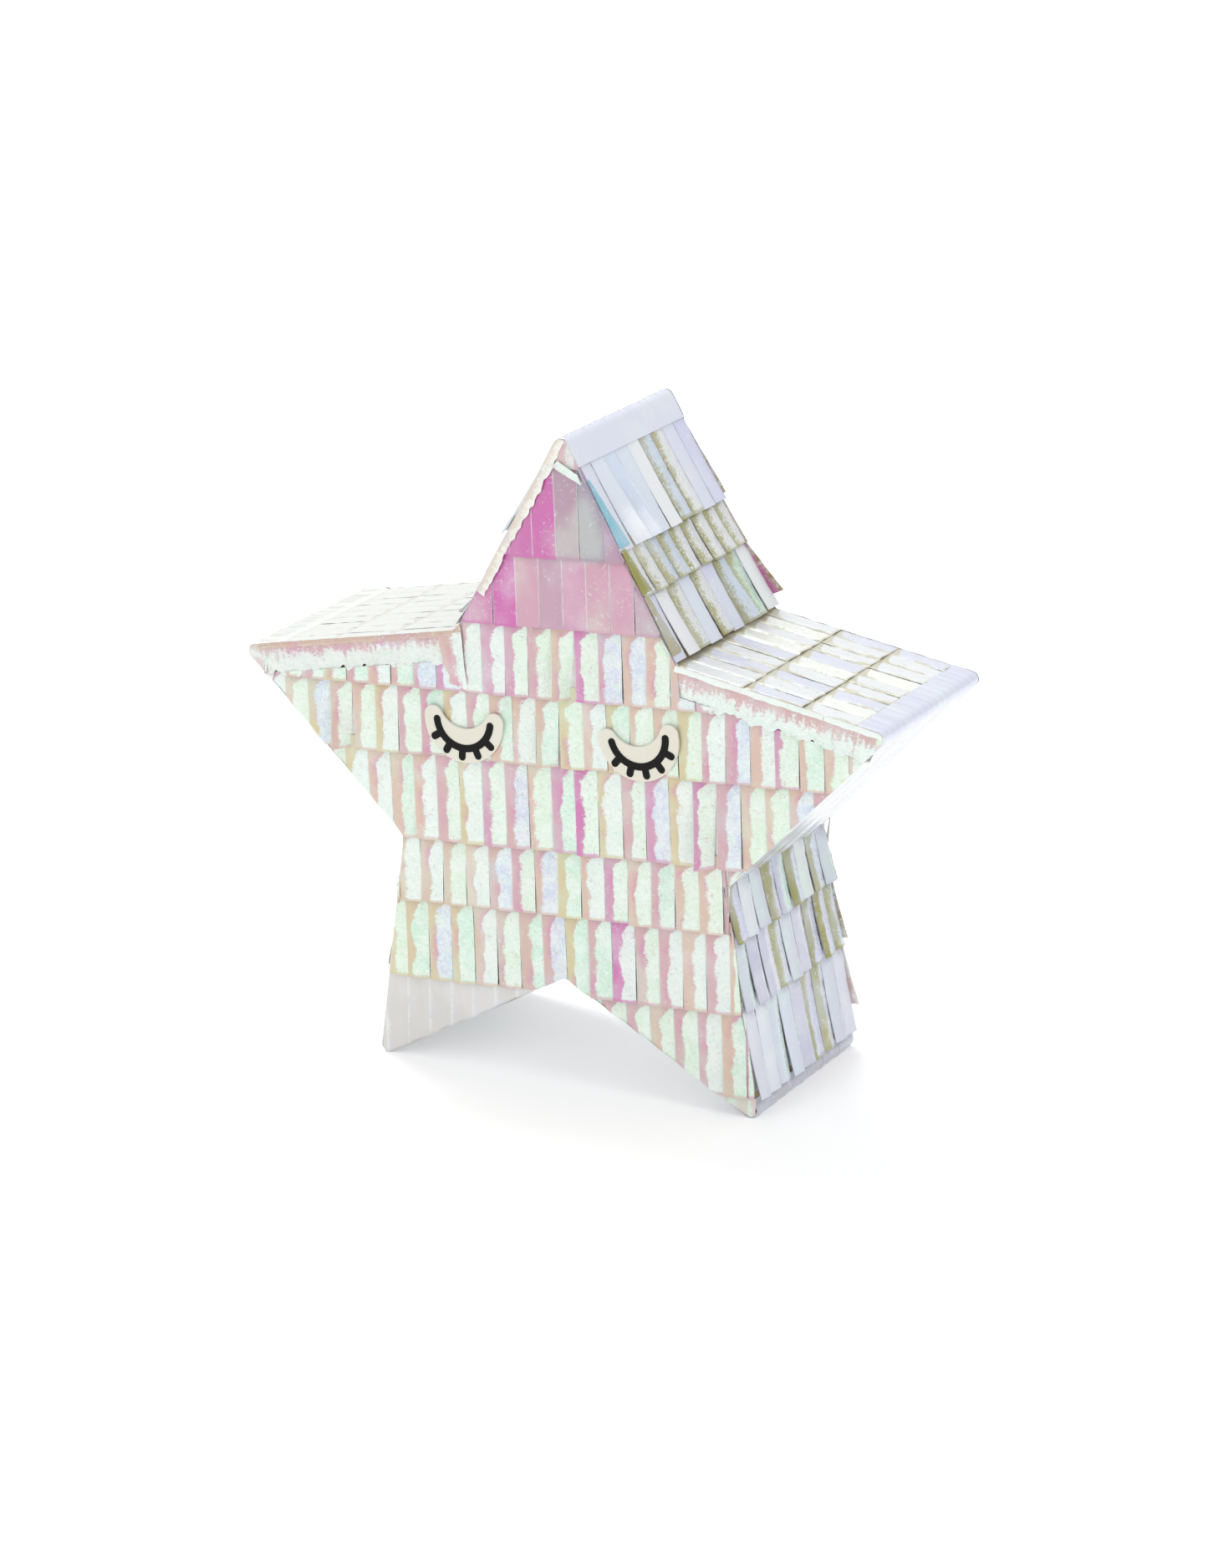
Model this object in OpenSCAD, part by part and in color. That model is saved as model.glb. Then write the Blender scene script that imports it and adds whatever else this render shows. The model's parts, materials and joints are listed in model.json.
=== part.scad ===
// Star-shaped pinata: a card shell covered with rows of slit foil fringe,
// with two eye stickers on the front and a filling flap in the back.
// X runs to the right seen from the front, Y to the back, Z up. The floor is Z = 0.

/* [Star] */
// Distance from the star's centre to the sharp end of each point
point_radius = 180; // [170:1:210]
// Distance from the star's centre to each notch between the points
notch_radius = 93; // [85:1:100]
// Depth from the front foil to the back foil
depth = 110; // [80:1:140]
// Radius of the rounding at the ends of the points
point_round = 4.5; // [4:0.5:7]

/* [Card shell] */
// Thickness of the card of the panels, the walls and the flap
card_t = 2.5; // [2:0.5:3.5]
// Thickness of the paper tape over the seams
tape_t = 0.4; // [0.3:0.1:0.6]
// Width of the tape on each side of a seam
tape_w = 12; // [8:1:16]

/* [Foil fringe] */
// Room that the layers of foil take outside the tape
foil_t = 1.8; // [1.6:0.1:2.4]
// Height of the unslit header that each row hides under the row above
header_h = 20; // [10:1:20]
// Rise of the front rows to the right, in degrees
front_tilt = 3; // [0:0.5:5]
// Height of the lower edge of the back's first row above the star's centre
back_first_end = 119; // [110:1:125]
// Distance from one back row to the next
back_pitch = 36; // [34:1:38]
// Header hidden between two rows on a wall
wall_header = 10; // [5:1:12]
// Width of the crinkled band along the top edge of each arm
band_w = 19; // [10:1:22]
// Length of the smooth foil wrapped over the top and the arms
wrap_len = 17; // [12:1:24]

/* [Filling flap] */
// Width of the hatch in the back panel
hatch_w = 84; // [60:2:90]
// Saw gap between the flap and the edges of the hatch
flap_gap = 0.4; // [0.3:0.1:0.8]
// How far the flap's lowest strips hang over the panel below the hatch
flap_overhang = 5; // [3:1:8]

/* [Hanging hole] */
// Radius of the punched hole for a hanging cord
cord_hole_r = 3; // [2:0.5:4]
// Height of the hole above the star's centre
cord_hole_z = 125; // [118:1:128]
// Radius of the card disc that strengthens the hole inside
patch_r = 15; // [10:1:15]
// Thickness of that disc
patch_t = 2; // [1:0.5:3]

/* [Eye stickers] */
// Thickness of a sticker
sticker_t = 1.2; // [0.6:0.1:2]
// Thickness of the printed black line, as a layer
print_t = 0.2; // [0.1:0.05:0.4]
// Radius of the middle of the closed-eye arc
lash_arc_r = 14.3; // [12:0.1:16]
// Width of the printed line
lash_w = 3.6; // [2:0.1:4]

/* [Hidden] */
$fn = 64;

// Corners run clockwise from the top point; even ones are points, odd ones are notches.
TOP = 0;
RIGHT_ARM = 2;
RIGHT_FOOT = 4;
LEFT_FOOT = 6;
LEFT_ARM = 8;

// How far each corner of this hand-made star sits from a regular star's
corner_nudge = [
    [1, 1], [5, 0], [-1, 0], [-2, -2], [-2, -1],
    [0, 4], [3, -1], [1, -1], [-5, -1], [-2, 2],
];
// Where the rows on a wall end, as parts of the way from the wall's first row to its last end
top_rows = [0.44, 0.67, 1];
arm_rows = [0.37, 0.69, 1];
leg_rows = [0.26, 0.58, 1];
left_leg_rows = [0.4, 1];
// Height of each front row's lower edge at the middle, above the star's centre
front_ends = [118, 84, 50, 17, -25, -57, -96, -137];
// Visible height of the first front row
first_row_h = 35;
// Depth of the flats worn on the two feet
foot_flat = 0.8;
// Segments in each rounded point
round_steps = 8;
// Longer than the star in any direction
far = 400;

// Layers of a fringe row, measured outwards from the face that it is glued to
header_t = 0.5;
strip_inner = 0.6;
strip_top = 1.0;
film_t = 1.0;
// Clearance of a row from the bisector of a notch
notch_gap = 1;
// Distance from a notch to the start of the band on the arm beside it
band_start = 2;
// Clearance between the free end of a row and the next row's shoulder
row_gap = 0.2;

front_y = -depth / 2;
back_y = depth / 2;
shell_in = foil_t + tape_t;
panel_back_y = back_y - shell_in;
wall_front_y = front_y + shell_in + card_t;
wall_back_y = panel_back_y - card_t;

// The wrap on each point ends at a straight cut: its direction and distance from the centre.
foot_cut_right = 133.5;
foot_cut_left = 98;
arm_cut = point_radius - wrap_len;
wrap_cut = [[90, arm_cut], [18, arm_cut], [-90, foot_cut_right], [-90, foot_cut_left], [162, arm_cut]];

// The flap hinges just under a row's end, so that it swings clear of the strips above.
hinge_drop = 1.5;
hinge_z = back_end(3) - hinge_drop;
flap_top_gap = 0.3;
// Thin top of the flap's own fringe, which rolls past the strips above the hinge
flap_thin_h = 4;
hatch_bottom = back_end(5) + flap_overhang;
window_gap = 0.5;

// Eye places on the front, above and beside the star's centre, and their turn
left_eye = [-51.4, 34];
right_eye = [41, 38];
right_eye_turn = 11;
// Outer and inner circle of the crescent, and the circles that round its ends
eye_outer_r = 21;
eye_outer_z = -0.5;
eye_inner_r = 14.2;
eye_inner_z = 9.5;
eye_lobe_r = 4.6;
// Half of the printed arc, and the lashes along it
lash_half_sweep = 84;
lash_count = 5;
lash_step = 27;
lash_lean = -3;
lash_reach = 20.5;

// ---- Outline ----

function dir(a) = [cos(a), sin(a)];
function unit(v) = v / norm(v);
function wrapped(i) = (i + 10) % 10;
function corner_radius(k) = k % 2 == 0 ? point_radius : notch_radius;
function corner(i) =
    let (k = wrapped(i))
    corner_radius(k) * dir(90 - 36 * k) + corner_nudge[k];
function edge_dir(i) = unit(corner(i + 1) - corner(i));
function edge_normal(i) = let (d = edge_dir(i)) [-d[1], d[0]];

// Corner i of the star drawn inwards by t on every edge
function inset_corner(i, t) =
    let (a = edge_normal(i - 1), b = edge_normal(i))
    corner(i) - t * (a + b) / (1 + a * b);

function round_corner(i, t, r) =
    let (
        p = inset_corner(i, t),
        u = unit(inset_corner(i - 1, t) - p),
        v = unit(inset_corner(i + 1, t) - p),
        half = acos(u * v) / 2,
        c = p + unit(u + v) * r / sin(half),
        from = p + u * r / tan(half) - c,
        to = p + v * r / tan(half) - c,
        a = atan2(from[1], from[0]),
        sweep = (atan2(to[1], to[0]) - a + 540) % 360 - 180
    )
    [for (k = [0 : round_steps]) c + r * dir(a + sweep * k / round_steps)];

function outline(t) = [
    for (i = [0 : 9])
        each (i % 2 == 0 ? round_corner(i, t, max(point_round - t, 0.5)) : [inset_corner(i, t)])
];

// ---- Placing: the origin is the middle of the floor under the whole part ----

edge_x = [for (p = outline(0)) p[0]];
edge_z = [for (p = outline(0)) p[1]];
floor_z = min(edge_z) + foot_flat;
eye_proud = sticker_t + print_t;
shift = [-(min(edge_x) + max(edge_x)) / 2, eye_proud / 2, -floor_z];

module placed() {
    translate(shift) children();
}

// A flat shape in the star's plane, given thickness from y0 to y1
module slab(y0, y1) {
    translate([0, y1, 0]) rotate([90, 0, 0]) linear_extrude(y1 - y0) children();
}

module star(t) {
    intersection() {
        polygon(outline(t));
        translate([-far, floor_z]) square([2 * far, far]);
    }
}

// ---- Regions of the star's plane ----

module half_plane(angle, distance) {
    rotate(angle) translate([distance, -far]) square([far, 2 * far]);
}

module wrap_region(point) {
    cut = wrap_cut[point / 2];
    intersection() {
        half_plane(cut[0], cut[1]);
        if (point == RIGHT_FOOT) half_plane(0, 0);
        if (point == LEFT_FOOT) half_plane(180, 0);
    }
}

module all_wraps() {
    for (point = [0 : 2 : 8]) wrap_region(point);
}

// Strip of the front along the top edge i of an arm, between the notch and the wrap
module band_region(i, notch, side) {
    a = inset_corner(i, 0);
    b = inset_corner(i + 1, 0);
    n = edge_normal(i);
    intersection() {
        polygon([a + n, b + n, b - n * band_w, a - n * band_w]);
        half_plane(side, abs(corner(notch)[0]) + band_start);
    }
}

module front_region() {
    difference() {
        star(0);
        all_wraps();
        band_region(1, 1, 0);
        band_region(8, 9, 180);
    }
}

module back_region() {
    difference() {
        star(0);
        all_wraps();
    }
}

// ---- Card shell ----

module flat_panel(y0, y1) {
    slab(y0, y1) polygon(outline(shell_in));
}

module front_panel() {
    color("tan") placed() flat_panel(front_y + shell_in, wall_front_y);
}

module cord_hole(r) {
    translate([0, 0, cord_hole_z]) rotate([-90, 0, 0]) cylinder(r = r, h = depth);
}

module back_panel() {
    color("tan") placed() difference() {
        flat_panel(wall_back_y, panel_back_y);
        translate([-hatch_w / 2, 0, hatch_bottom]) cube([hatch_w, depth, hinge_z - hatch_bottom]);
        cord_hole(cord_hole_r);
    }
}

// The strip of card folded over one point, cut off at the notches beside it
module point_wall(point) {
    before = inset_corner(point - 1, shell_in);
    after = inset_corner(point + 1, shell_in);
    color("burlywood") placed() slab(wall_front_y, wall_back_y) intersection() {
        difference() {
            polygon(outline(shell_in));
            polygon(outline(shell_in + card_t));
        }
        polygon([[0, 0], 2 * before, 2 * corner(point), 2 * after]);
    }
}

module cord_patch() {
    color("peru") placed() difference() {
        translate([0, wall_back_y, cord_hole_z]) rotate([90, 0, 0]) cylinder(r = patch_r, h = patch_t);
        cord_hole(cord_hole_r);
    }
}

// Tape folded over a seam: one leg on the panel's face, one on the walls
module seam_tape(face_y, outwards) {
    face_end = face_y + outwards * tape_t;
    wall_end = face_y - outwards * tape_w;
    color("wheat") placed() {
        slab(min(face_y, face_end), max(face_y, face_end)) difference() {
            polygon(outline(foil_t));
            polygon(outline(shell_in + tape_w));
        }
        slab(min(face_y, wall_end), max(face_y, wall_end)) difference() {
            polygon(outline(foil_t));
            polygon(outline(shell_in));
        }
    }
}

// ---- Fringe on the front and the back ----

function back_end(row) = back_first_end - back_pitch * (row - 1);
function front_end(row) = front_ends[row - 1];
function front_height(row) = row == 1 ? first_row_h : front_end(row - 1) - front_end(row);

// Side view of one row: out from the face and up
function row_profile(end, height) = [
    [0, end + height + header_h],
    [header_t, end + height + header_h],
    [header_t, end + height - row_gap],
    [strip_top, end + height - row_gap],
    [foil_t, end],
    [strip_inner, end],
    [strip_inner, end + header_h],
    [0, end + header_h],
];

// A side view drawn across the whole width; out is +1 for the back and -1 for the front
module across(points, face_y, out) {
    translate([-far / 2, face_y, 0]) rotate([90, 0, 90]) linear_extrude(far)
        polygon([for (p = points) [out * p[0], p[1]]]);
}

module front_fringe(row) {
    color("lavenderblush") placed() intersection() {
        rotate([0, -front_tilt, 0])
            across(row_profile(front_end(row), front_height(row)), front_y + foil_t, -1);
        slab(front_y, 0) front_region();
    }
}

// The last front row hangs on the right leg only
module front_fringe_8() {
    intersection() {
        front_fringe(8);
        translate([0, -depth, 0]) cube([far, depth, far]);
    }
}

module flap_window(low) {
    half = hatch_w / 2 + window_gap;
    translate([-half, 0, low]) cube([2 * half, depth, hinge_z + hinge_drop - low]);
}

// The strips beside the flap's lowest row leave room for its overhang
function window_low(row) = row == 5 ? back_end(row) - window_gap : hatch_bottom - 2 * window_gap;

module back_fringe(row) {
    color("lavender") placed() difference() {
        intersection() {
            across(row_profile(back_end(row), back_pitch), back_y - foil_t, 1);
            slab(0, back_y) back_region();
        }
        flap_window(window_low(row));
        cord_hole(cord_hole_r + 2);
    }
}

module arm_band(i, notch, side) {
    color("honeydew") placed() slab(front_y, front_y + foil_t) difference() {
        intersection() {
            star(0);
            band_region(i, notch, side);
        }
        all_wraps();
    }
}

// ---- Foil on the walls ----

// A place on the wall that runs from corner `from` to corner `to`: s along it, o out from the tape
function wall_point(from, to, s, o) =
    let (
        a = inset_corner(from, foil_t),
        d = unit(inset_corner(to, foil_t) - a),
        n = edge_normal(wrapped(to - from) == 1 ? from : to)
    )
    a + d * s + n * o;

function wall_length(from, to) = norm(inset_corner(to, foil_t) - inset_corner(from, foil_t));

// Where the wrap on a point cuts the wall, measured from the wall's first corner
function wrap_mark(from, to, point) =
    let (
        cut = wrap_cut[point / 2],
        a = inset_corner(from, foil_t),
        d = unit(inset_corner(to, foil_t) - a)
    )
    (cut[1] - a * dir(cut[0])) / (d * dir(cut[0]));

function is_point(i) = i % 2 == 0;
function wall_first(from, to) = is_point(from) ? wrap_mark(from, to, from) : notch_gap;
function wall_last(from, to) =
    is_point(to) ? wrap_mark(from, to, to) : wall_length(from, to) - notch_gap;

// Rows run down the slope from corner `from`; the first has no header to hide
function wall_row_profile(first, end, header) = [
    [first - header, 0],
    [first - header, header_t],
    [first + row_gap, header_t],
    [first + row_gap, strip_top],
    [end, foil_t],
    [end, strip_inner],
    [end - wall_header, strip_inner],
    [end - wall_header, 0],
];

module wall_fringe(from, to, rows) {
    first = wall_first(from, to);
    length = wall_last(from, to) - first;
    color("thistle") placed() slab(front_y + foil_t, back_y - foil_t) difference() {
        for (j = [0 : len(rows) - 1]) {
            start = first + length * (j == 0 ? 0 : rows[j - 1]);
            end = first + length * rows[j];
            profile = wall_row_profile(start, end, j == 0 ? 0 : wall_header);
            polygon([for (p = profile) wall_point(from, to, p[0], p[1])]);
        }
        all_wraps();
    }
}

// A film runs on under the wrap's cut, which trims it
module under_film(from, to) {
    first = wall_first(from, to) - (is_point(from) ? wrap_len : 0);
    last = wall_last(from, to) + (is_point(to) ? wrap_len : 0);
    color("gainsboro") placed() slab(front_y + foil_t, back_y - foil_t) difference() {
        polygon([
            wall_point(from, to, first, 0),
            wall_point(from, to, first, film_t),
            wall_point(from, to, last, film_t),
            wall_point(from, to, last, 0),
        ]);
        all_wraps();
    }
}

// Smooth foil folded over the end of a point, on the walls and on both faces
module foil_wrap(point) {
    color("ghostwhite") placed() difference() {
        slab(front_y, back_y) intersection() {
            star(0);
            wrap_region(point);
        }
        slab(front_y + foil_t, back_y - foil_t) polygon(outline(foil_t));
    }
}

// ---- Eye stickers ----

// Centre of the circle that rounds the crescent's end, touching both of its edges
function lobe_centre() =
    let (
        d1 = eye_outer_r - eye_lobe_r,
        d2 = eye_inner_r + eye_lobe_r,
        gap = eye_inner_z - eye_outer_z,
        h = (d1 * d1 - d2 * d2 + gap * gap) / (2 * gap)
    )
    [sqrt(d1 * d1 - h * h), eye_outer_z + h];

module crescent() {
    lobe = lobe_centre();
    outer = [0, eye_outer_z] + eye_outer_r * unit(lobe - [0, eye_outer_z]);
    inner = [0, eye_inner_z] + eye_inner_r * unit(lobe - [0, eye_inner_z]);
    difference() {
        translate([0, eye_outer_z]) circle(eye_outer_r);
        translate([0, eye_inner_z]) circle(eye_inner_r);
        polygon([
            [-outer[0] - 1, outer[1]], [-inner[0], inner[1]],
            [inner[0], inner[1]], [outer[0] + 1, outer[1]],
            [outer[0] + 1, far], [-outer[0] - 1, far],
        ]);
    }
    for (side = [-1, 1]) translate([side * lobe[0], lobe[1]]) circle(eye_lobe_r);
}

module closed_eye() {
    difference() {
        circle(lash_arc_r + lash_w / 2);
        circle(lash_arc_r - lash_w / 2);
        polygon([
            [0, 0], far * dir(-90 + lash_half_sweep),
            [far, far], [-far, far], far * dir(-90 - lash_half_sweep),
        ]);
    }
    for (side = [-1, 1]) rotate(-90 + side * lash_half_sweep) translate([lash_arc_r, 0]) circle(lash_w / 2);
    for (k = [0 : lash_count - 1]) rotate(-90 + lash_lean + lash_step * (k - 2)) {
        translate([lash_arc_r, -lash_w / 2]) square([lash_reach - lash_w / 2 - lash_arc_r, lash_w]);
        translate([lash_reach - lash_w / 2, 0]) circle(lash_w / 2);
    }
}

// Puts an eye on the front; the right one is the left one's mirror image, turned a little
module on_face(eye, turn, flip, y0, y1) {
    placed() slab(y0, y1) translate(eye) rotate(turn) mirror([flip, 0]) children();
}

module eye_sticker(eye, turn, flip) {
    color("beige") on_face(eye, turn, flip, front_y - sticker_t, front_y) crescent();
}

module lash_print(eye, turn, flip) {
    color("black") on_face(eye, turn, flip, front_y - eye_proud, front_y - sticker_t) closed_eye();
}

// ---- Filling flap ----

module flap_panel() {
    width = hatch_w - 2 * flap_gap;
    low = hatch_bottom + flap_gap;
    color("tan") placed() translate([-width / 2, wall_back_y, low])
        cube([width, card_t, hinge_z - flap_top_gap - low]);
}

module flap_row(points) {
    color("lavender") placed() intersection() {
        across(points, panel_back_y, 1);
        translate([-hatch_w / 2, 0, -far]) cube([hatch_w, depth, 2 * far]);
    }
}

module flap_fringe_upper() {
    top = hinge_z - flap_top_gap;
    thin = hinge_z - flap_thin_h;
    end = back_end(4);
    flap_row([
        [0, top], [header_t, top], [header_t, thin], [tape_t + strip_top, thin],
        [tape_t + foil_t, end], [tape_t + strip_inner, end],
        [tape_t + strip_inner, end + wall_header], [0, end + wall_header],
    ]);
}

module flap_fringe_lower() {
    top = back_end(4);
    end = back_end(5);
    flap_row([
        [0, top + wall_header], [tape_t + header_t, top + wall_header],
        [tape_t + header_t, top - row_gap], [tape_t + strip_top, top - row_gap],
        [tape_t + foil_t, end], [tape_t + strip_inner, end],
        [tape_t + strip_inner, end + wall_header], [0, end + wall_header],
    ]);
}

// ---- The part ----

front_panel();
back_panel();
point_wall(TOP);  // top_point_wall
point_wall(RIGHT_ARM);  // right_arm_wall
point_wall(RIGHT_FOOT);  // right_leg_wall
point_wall(LEFT_FOOT);  // left_leg_wall
point_wall(LEFT_ARM);  // left_arm_wall
seam_tape(front_y + shell_in, -1);  // front_seam_tape
seam_tape(panel_back_y, 1);  // back_seam_tape
cord_patch();
for (row = [1 : 7])
    front_fringe(row);
front_fringe_8();
arm_band(1, 1, 0);  // right_arm_band
arm_band(8, 9, 180);  // left_arm_band
for (row = [1 : 8])
    back_fringe(row);
wall_fringe(TOP, 1, top_rows);  // top_right_fringe
wall_fringe(1, RIGHT_ARM, arm_rows);  // right_arm_top_fringe
wall_fringe(3, RIGHT_FOOT, leg_rows);  // right_leg_outer_fringe
wall_fringe(7, LEFT_FOOT, left_leg_rows);  // left_leg_outer_fringe
wall_fringe(9, LEFT_ARM, arm_rows);  // left_arm_top_fringe
wall_fringe(TOP, 9, top_rows);  // top_left_fringe
under_film(RIGHT_ARM, 3);  // right_arm_under_film
under_film(RIGHT_FOOT, 5);  // right_leg_inner_film
under_film(5, LEFT_FOOT);  // left_leg_inner_film
under_film(LEFT_ARM, 7);  // left_arm_under_film
foil_wrap(TOP);  // top_wrap
foil_wrap(RIGHT_ARM);  // right_arm_wrap
foil_wrap(RIGHT_FOOT);  // right_foot_wrap
foil_wrap(LEFT_FOOT);  // left_foot_wrap
foil_wrap(LEFT_ARM);  // left_arm_wrap
eye_sticker(left_eye, 0, 0);  // eye_sticker_left
eye_sticker(right_eye, right_eye_turn, 1);  // eye_sticker_right
lash_print(left_eye, 0, 0);  // lash_print_left
lash_print(right_eye, right_eye_turn, 1);  // lash_print_right
flap_panel();
flap_fringe_upper();
flap_fringe_lower();
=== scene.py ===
"""The looks of a star pinata: iridescent foil fringe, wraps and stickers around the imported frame."""

import json
import math
import random

import bpy
from mathutils import Matrix, Vector, noise


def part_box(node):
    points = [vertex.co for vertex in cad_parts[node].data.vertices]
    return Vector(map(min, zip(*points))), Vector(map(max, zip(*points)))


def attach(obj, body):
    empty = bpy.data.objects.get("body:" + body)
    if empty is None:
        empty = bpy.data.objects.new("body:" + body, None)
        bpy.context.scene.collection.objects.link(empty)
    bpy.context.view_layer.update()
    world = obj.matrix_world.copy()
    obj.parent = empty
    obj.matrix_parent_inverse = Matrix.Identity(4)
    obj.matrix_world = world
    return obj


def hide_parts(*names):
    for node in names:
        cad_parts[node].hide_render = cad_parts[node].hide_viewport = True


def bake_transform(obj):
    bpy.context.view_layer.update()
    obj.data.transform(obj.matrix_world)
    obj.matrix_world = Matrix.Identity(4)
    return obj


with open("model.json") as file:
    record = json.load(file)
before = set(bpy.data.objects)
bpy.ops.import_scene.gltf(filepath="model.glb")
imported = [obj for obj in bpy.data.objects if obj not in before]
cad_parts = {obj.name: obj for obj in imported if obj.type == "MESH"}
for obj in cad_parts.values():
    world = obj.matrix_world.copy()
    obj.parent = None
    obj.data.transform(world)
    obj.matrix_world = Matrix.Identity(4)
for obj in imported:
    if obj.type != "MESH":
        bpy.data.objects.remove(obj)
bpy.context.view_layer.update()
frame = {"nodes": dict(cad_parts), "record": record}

MM = 0.001

# ---- The star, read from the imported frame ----

TIP_ROUND = 4.5 * MM
EDGE_ROUND = 2.4 * MM
FACE_INSET = 0.7 * MM
WALL_INSET = 0.9 * MM
ROUND_STEPS = 8
LONG_SIDE = 50 * MM
FAR = 1.0

front_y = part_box("front_fringe_5")[0].y
back_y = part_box("back_fringe_5")[1].y
card_front_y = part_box("front_panel")[0].y
shell_in = card_front_y - front_y
tape_front_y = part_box("front_seam_tape")[0].y
foil_room = tape_front_y - front_y


def flat(v):
    return Vector((v.x, v.z))


def node_points(node):
    return [flat(v.co) for v in frame["nodes"][node].data.vertices]


def outward(d):
    """The outer side of a stretch of outline that runs clockwise."""
    return Vector((-d.y, d.x))


def read_sides():
    """The ten straight sides of the card star, clockwise from the top: a point on each and its direction."""
    low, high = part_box("front_panel")
    centre = flat((low + high) / 2)
    points = {(round(p.x, 5), round(p.y, 5)) for p in node_points("front_panel")}

    def clockwise(p):
        turn = math.atan2(p[1] - centre.y, p[0] - centre.x)
        return (math.pi / 2 - turn) % (2 * math.pi)

    ring = [Vector(p) for p in sorted(points, key=clockwise)]
    sides = []
    for here, there in zip(ring, ring[1:] + ring[:1]):
        if (there - here).length > LONG_SIDE:
            sides.append((here, (there - here).normalized()))
    return sides


SIDES = read_sides()


def corner(i, inset=0.0):
    """Corner i of the star: even ones are points, odd ones are notches. The inset is from the foil's face."""
    (p, d), (q, e) = SIDES[(i - 1) % 10], SIDES[i % 10]
    p = p + outward(d) * (shell_in - inset)
    q = q + outward(e) * (shell_in - inset)
    along = (q - p).cross(e) / d.cross(e)
    return p + d * along


def outline(inset=0.0, steps=ROUND_STEPS):
    """The star's outline with its points rounded."""
    points = []
    for i in range(10):
        p = corner(i, inset)
        if i % 2:
            points.append(p)
            continue
        u = (corner(i - 1, inset) - p).normalized()
        v = (corner(i + 1, inset) - p).normalized()
        radius = max(TIP_ROUND - inset, 0.5 * MM)
        half = u.angle(v) / 2
        c = p + (u + v).normalized() * radius / math.sin(half)
        first = p + u * radius / math.tan(half) - c
        last = p + v * radius / math.tan(half) - c
        a = math.atan2(first.y, first.x)
        sweep = (math.atan2(last.y, last.x) - a + 3 * math.pi) % (2 * math.pi) - math.pi
        for k in range(steps + 1):
            t = a + sweep * k / steps
            points.append(c + radius * Vector((math.cos(t), math.sin(t))))
    return points


OUTLINE = outline()


def distance_to_outline(p):
    best = FAR
    for a, b in zip(OUTLINE, OUTLINE[1:] + OUTLINE[:1]):
        side = b - a
        t = max(0.0, min(1.0, (p - a).dot(side) / side.length_squared))
        best = min(best, (a + side * t - p).length)
    return best


def rolled(d):
    """How far a sheet sinks at distance d from a folded edge."""
    if d >= EDGE_ROUND:
        return 0.0
    reach = EDGE_ROUND - max(d, 0.0)
    return EDGE_ROUND - math.sqrt(max(EDGE_ROUND ** 2 - reach ** 2, 0.0))


def rough(p, size, seed=0.0):
    """Smooth noise from -1 to 1 with features of about that size."""
    return noise.noise(Vector((p[0] / size + seed, p[1] / size - seed, p[2] / size + 3.7 * seed)))


def smooth(t):
    t = max(0.0, min(1.0, t))
    return t * t * (3 - 2 * t)


# ---- Surfaces that the foil lies on: a runs across, b runs up, o stands out ----


class Face:
    """The front or the back of the star. Seen from outside, a runs to the right."""

    def __init__(self, side, tilt=0.0, inset=FACE_INSET):
        self.side = side
        self.cos, self.sin = math.cos(tilt), math.sin(tilt)
        self.base = front_y + foil_room if side < 0 else back_y - foil_room
        self.ring = [self.to_ab(p) for p in outline(inset)]
        self.fences, self.pressed, self.hinge = [], [], None

    def to_ab(self, p):
        x = -self.side * p.x
        return Vector((x * self.cos + p.y * self.sin, -x * self.sin + p.y * self.cos))

    def place(self, a, b, o):
        x = a * self.cos - b * self.sin
        z = a * self.sin + b * self.cos
        p = Vector((-self.side * x, z))
        for centre, radius, most in self.pressed:
            if o > most:
                o = most + (o - most) * smooth(((p - centre).length - radius) / (5 * MM))
        if self.hinge:
            o = self.under_hinge(a, b, o)
        sink = rolled(distance_to_outline(p))
        return Vector((p.x, self.base + self.side * (o - sink), z))

    def under_hinge(self, a, b, o):
        """Thin film where the flap turns, so that it rolls past the strips above it."""
        left, right, height = self.hinge
        if not left < a < right:
            return o
        if b > height:
            return min(o, 1.9 * MM)
        return min(o, (0.1 + 5 * smooth((height - b - 3 * MM) / (4 * MM))) * MM)

    def fence(self, p, out, a0, a1):
        """Keeps strips between a0 and a1 on the inner side of the line through p; out points over it."""
        base = self.to_ab(p)
        n = self.to_ab(p + out) - base
        self.fences.append((a0, a1, base, n))

    def spans(self, a):
        """Stretches of b that lie on the star at a, inside the fences."""
        hits = []
        for p, q in zip(self.ring, self.ring[1:] + self.ring[:1]):
            if (p.x > a) != (q.x > a):
                hits.append(p.y + (q.y - p.y) * (a - p.x) / (q.x - p.x))
        hits.sort()
        low, high = -FAR, FAR
        for a0, a1, base, n in self.fences:
            if a0 <= a <= a1 and abs(n.y) > 0.01:
                b = base.y - n.x * (a - base.x) / n.y
                low, high = (low, min(high, b)) if n.y > 0 else (max(low, b), high)
        pairs = ((max(p, low), min(q, high)) for p, q in zip(hits[::2], hits[1::2]))
        return [(p, q) for p, q in pairs if q > p]

    def clip(self, a, low, high):
        """The longest part of low to high on the star at a, or None."""
        best = None
        for start, end in self.spans(a):
            start, end = max(start, low), min(end, high)
            if end > start and (best is None or end - start > best[1] - best[0]):
                best = (start, end)
        return best

    def width(self):
        return min(p.x for p in self.ring), max(p.x for p in self.ring)


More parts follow.
